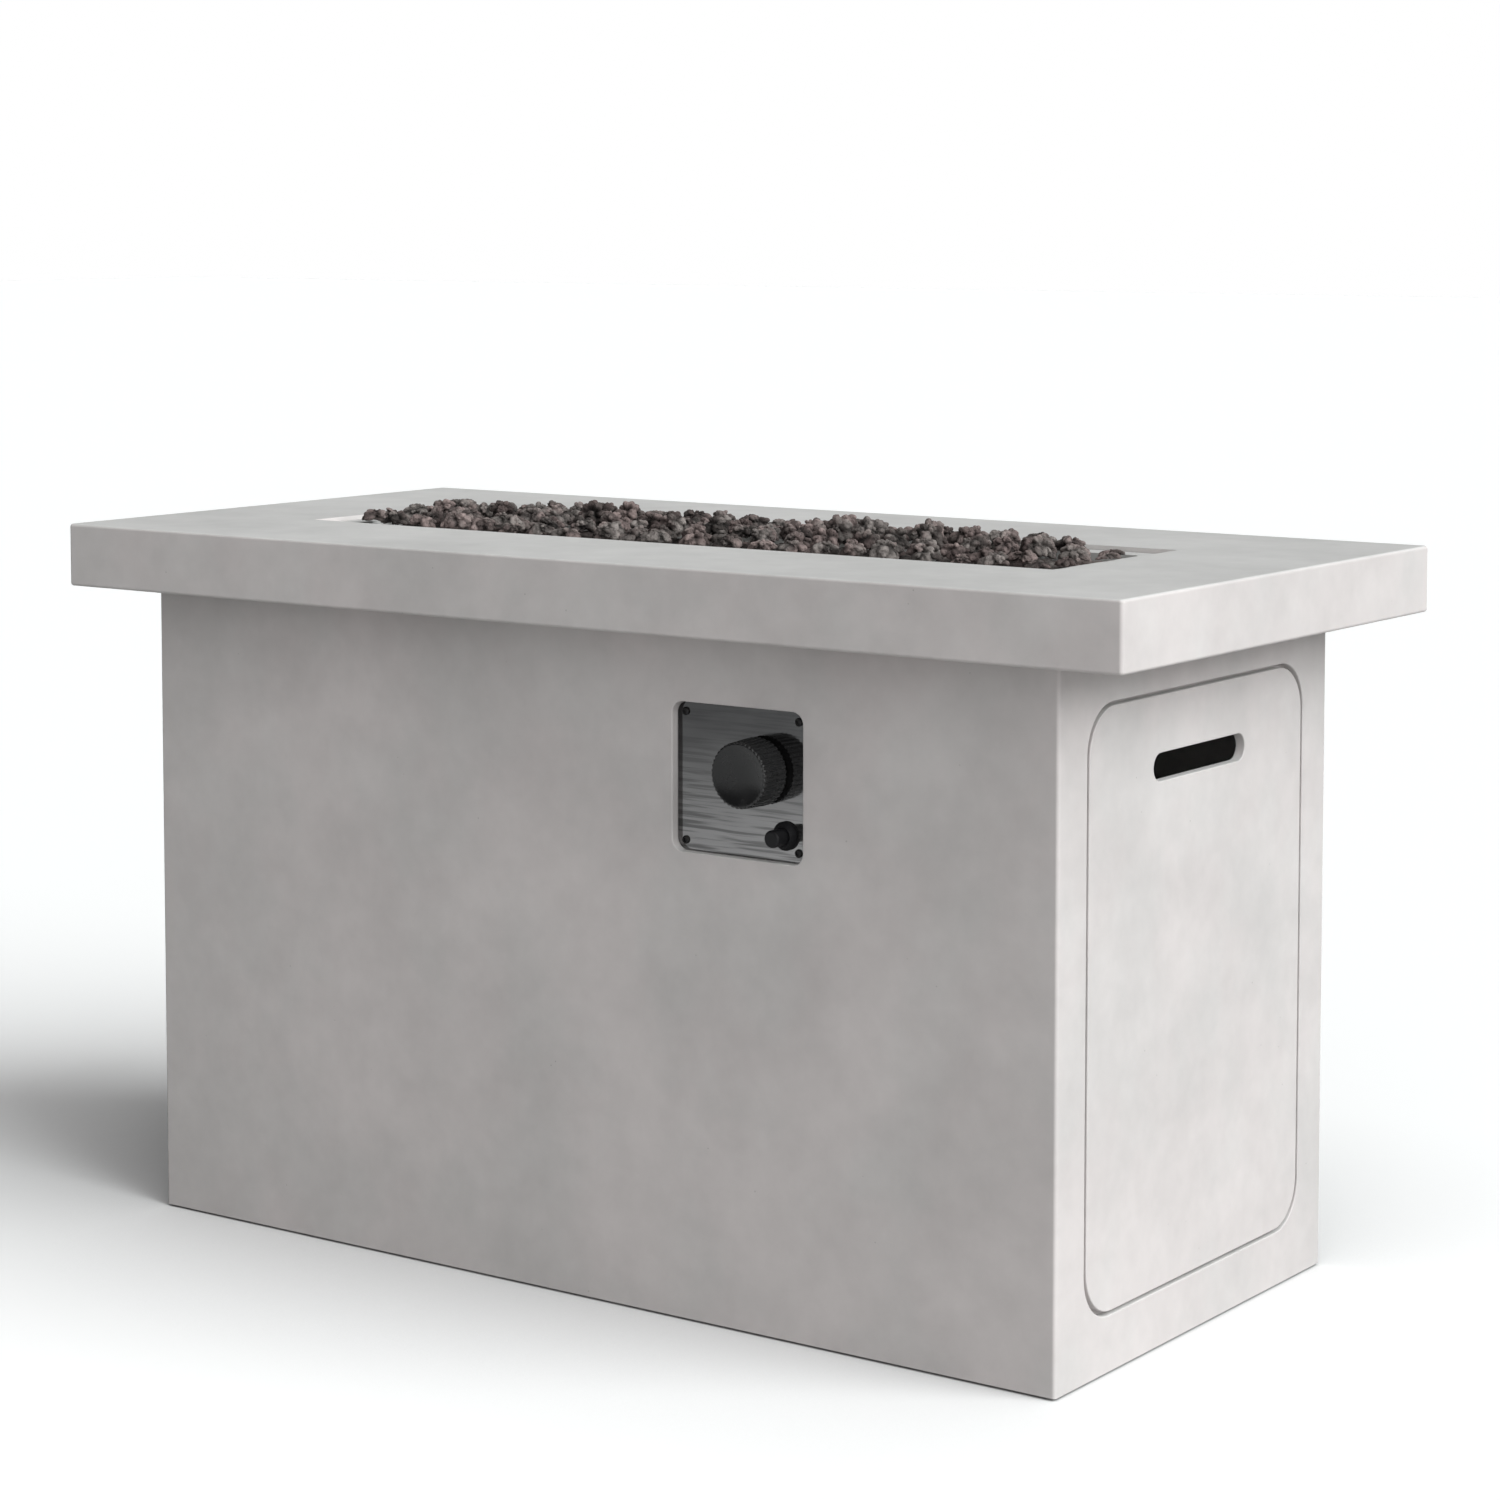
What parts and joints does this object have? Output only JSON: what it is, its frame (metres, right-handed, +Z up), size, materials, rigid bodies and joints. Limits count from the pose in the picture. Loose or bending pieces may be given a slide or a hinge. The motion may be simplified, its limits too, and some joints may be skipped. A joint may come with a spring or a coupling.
{
  "type": "fire pit table",
  "caption": "Rectangular gas fire pit table: concrete slab with a recessed bed of lava stones, on a box base with a lift-off end door, set-back control plate, knob and igniter.",
  "frame": {"origin": "on the floor, under the middle of the table", "axes": "+X along the table towards the end with the door, -Y out of the front wall with the control plate, +Z up"},
  "size_m": [1.067, 0.508, 0.6378],
  "materials": {
    "concrete": "smooth cast, matt",
    "lava": "porous, rough",
    "stainless": "brushed",
    "galvanised": "galvanised sheet",
    "brass": "machined",
    "aluminium": "drawn tube",
    "black_plastic": "fine satin",
    "rubber": "moulded",
    "ceramic": "glazed ceramic",
    "spring_steel": "drawn wire",
    "dark_screw": "black oxide",
    "zinc_screw": "zinc plated",
    "magnet": "nickel plated"
  },
  "bodies": {
    "root": {"air_mixer": "galvanised", "base_feet": "rubber", "base_shell": "concrete", "bracket_screws": "zinc_screw", "burner_brackets": "stainless", "burner_elbow": "brass", "burner_end_caps": "stainless", "burner_pan": "stainless", "burner_tube": "stainless", "control_plate": "stainless", "corner_brackets": "galvanised", "elbow_nut": "brass", "floor_plate": "galvanised", "gas_inlet_fitting": "brass", "gas_tube": "aluminium", "heat_shield": "galvanised", "igniter_housing": "black_plastic", "igniter_nut": "black_plastic", "igniter_spring": "spring_steel", "ignition_bracket": "stainless", "injector": "brass", "lower_lava_stones": "lava", "lower_vent_grille": "galvanised", "plate_screws": "dark_screw", "shield_screws": "zinc_screw", "spark_electrode": "ceramic", "strike_plates": "galvanised", "table_top": "concrete", "tank_ring": "galvanised", "thermocouple": "stainless", "upper_lava_stones": "lava", "upper_vent_grille": "galvanised", "valve_body": "brass", "valve_nut": "brass", "valve_spring": "spring_steel", "vent_screws": "zinc_screw"},
    "door": {"door_panel": "concrete", "door_magnets": "magnet"},
    "push_carriage": {"valve_collar": "stainless"},
    "knob": {"control_knob": "black_plastic", "valve_stem": "stainless"},
    "igniter": {"igniter_button": "black_plastic"}
  },
  "joints": [
    {"name": "door_pull", "type": "slide", "parent": "root", "child": "door", "axis": [1, 0, 0], "range_m": [0, 0.15]},
    {"name": "knob_push", "type": "slide", "parent": "root", "child": "push_carriage", "axis": [0, 1, 0], "range_m": [0, 0.004], "stiffness_N_per_m": 1200, "springref_m": -0.004, "deforming": ["valve_spring"]},
    {"name": "knob_turn", "type": "hinge", "parent": "push_carriage", "child": "knob", "pos_m": [0.186, -0.225, 0.4496], "axis": [0, -1, 0], "range_deg": [0, 220]},
    {"name": "igniter_push", "type": "slide", "parent": "root", "child": "igniter", "axis": [0, 1, 0], "range_m": [0, 0.005], "stiffness_N_per_m": 800, "springref_m": -0.003, "deforming": ["igniter_spring"]}
  ]
}
